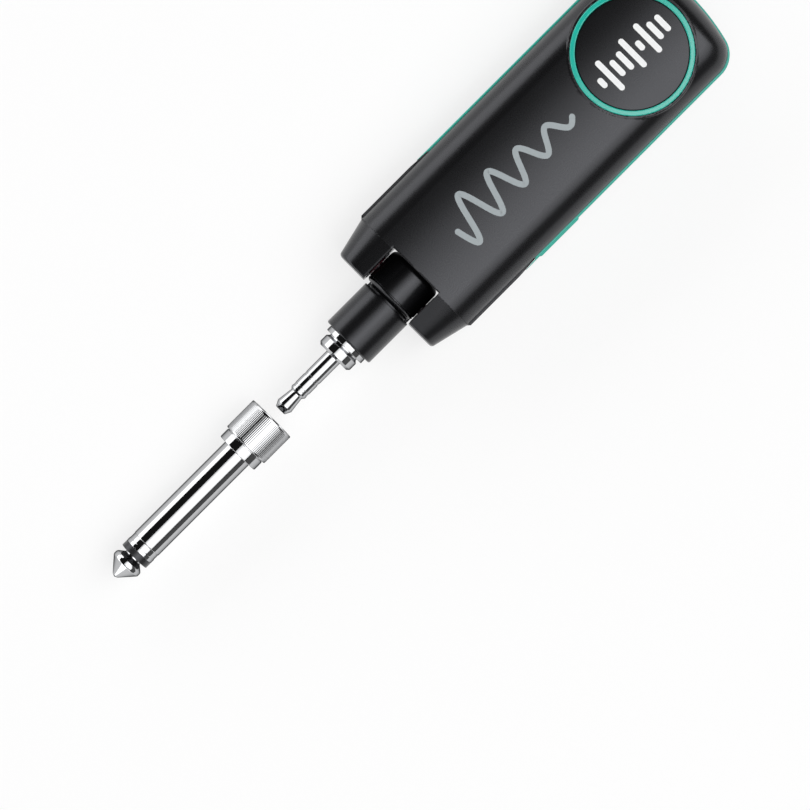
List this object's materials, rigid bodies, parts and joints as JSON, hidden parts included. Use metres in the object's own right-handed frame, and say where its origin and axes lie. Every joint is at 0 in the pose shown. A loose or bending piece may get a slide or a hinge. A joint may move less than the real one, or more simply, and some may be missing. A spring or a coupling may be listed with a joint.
{
  "type": "wireless guitar transmitter",
  "caption": "Pocket wireless transmitter for an electric guitar: pillow-shaped black body with a teal side band, a small plug folding in a fork and a slide-on large jack adapter.",
  "frame": {"origin": "on the flat back face, on the body's centreline, 41.1 mm behind the fork tips", "axes": "+X along the body towards the plug, +Y towards the side button, +Z out of the front face"},
  "size_m": [0.1555, 0.0296, 0.0162],
  "materials": {
    "shell_black": "satin moulded plastic",
    "band_teal": "glossy coloured plastic",
    "ring_teal": "glossy coloured plastic with a soft gradient",
    "badge_black": "smooth black plastic",
    "board_green": "solder mask on glass-fibre board",
    "battery_foil": "satin pouch foil",
    "shield_steel": "tinned sheet",
    "antenna_ceramic": "fired ceramic",
    "switch_black": "matt",
    "screw_steel": "zinc plated",
    "wire_red": "soft insulation",
    "port_steel": "bright drawn steel",
    "tongue_grey": "matt",
    "pin_steel": "ground",
    "washer_red": "dull low-friction plastic",
    "button_teal": "glossy coloured plastic",
    "plug_black": "satin moulded plastic",
    "plug_chrome": "bright plated",
    "insulator_black": "smooth black plastic",
    "adapter_chrome": "bright plated",
    "collar_chrome": "plated, straight knurl",
    "cup_brass": "plain brass"
  },
  "bodies": {
    "body": {"front_shell": "shell_black", "back_shell": "shell_black", "side_band": "band_teal", "front_badge_ring": "ring_teal", "front_badge_disc": "badge_black", "back_badge_ring": "ring_teal", "back_badge_disc": "badge_black", "circuit_board": "board_green", "battery": "battery_foil", "radio_shield": "shield_steel", "antenna": "antenna_ceramic", "button_switch": "switch_black", "board_screws": "screw_steel", "signal_wires": "wire_red", "usb_port_shell": "port_steel", "usb_port_tongue": "tongue_grey", "hinge_pins": "pin_steel", "friction_washers": "washer_red"},
    "power_button": {"power_button": "button_teal"},
    "plug_head": {"plug_housing": "plug_black", "knuckle_core": "plug_black", "plug_base_ring": "plug_chrome", "jack_sleeve_contact": "plug_chrome", "jack_rear_insulator": "insulator_black", "jack_ring_contact": "plug_chrome", "jack_front_insulator": "insulator_black", "jack_tip_contact": "plug_chrome"},
    "adapter": {"adapter_barrel": "adapter_chrome", "adapter_collar": "collar_chrome", "adapter_insulator": "insulator_black", "adapter_tip": "adapter_chrome", "adapter_contact_cup": "cup_brass"}
  },
  "joints": [
    {"name": "plug_hinge", "type": "hinge", "parent": "body", "child": "plug_head", "pos_m": [0.0373, 0.0001, 0.0059], "axis": [0, 1, 0], "range_deg": [-75, 130]},
    {"name": "adapter_slide", "type": "slide", "parent": "plug_head", "child": "adapter", "axis": [-1, 0, 0], "range_m": [0, 0.0193]},
    {"name": "button_press", "type": "slide", "parent": "body", "child": "power_button", "axis": [0, -1, 0], "range_m": [0, 0.0004], "stiffness_N_per_m": 2000}
  ]
}
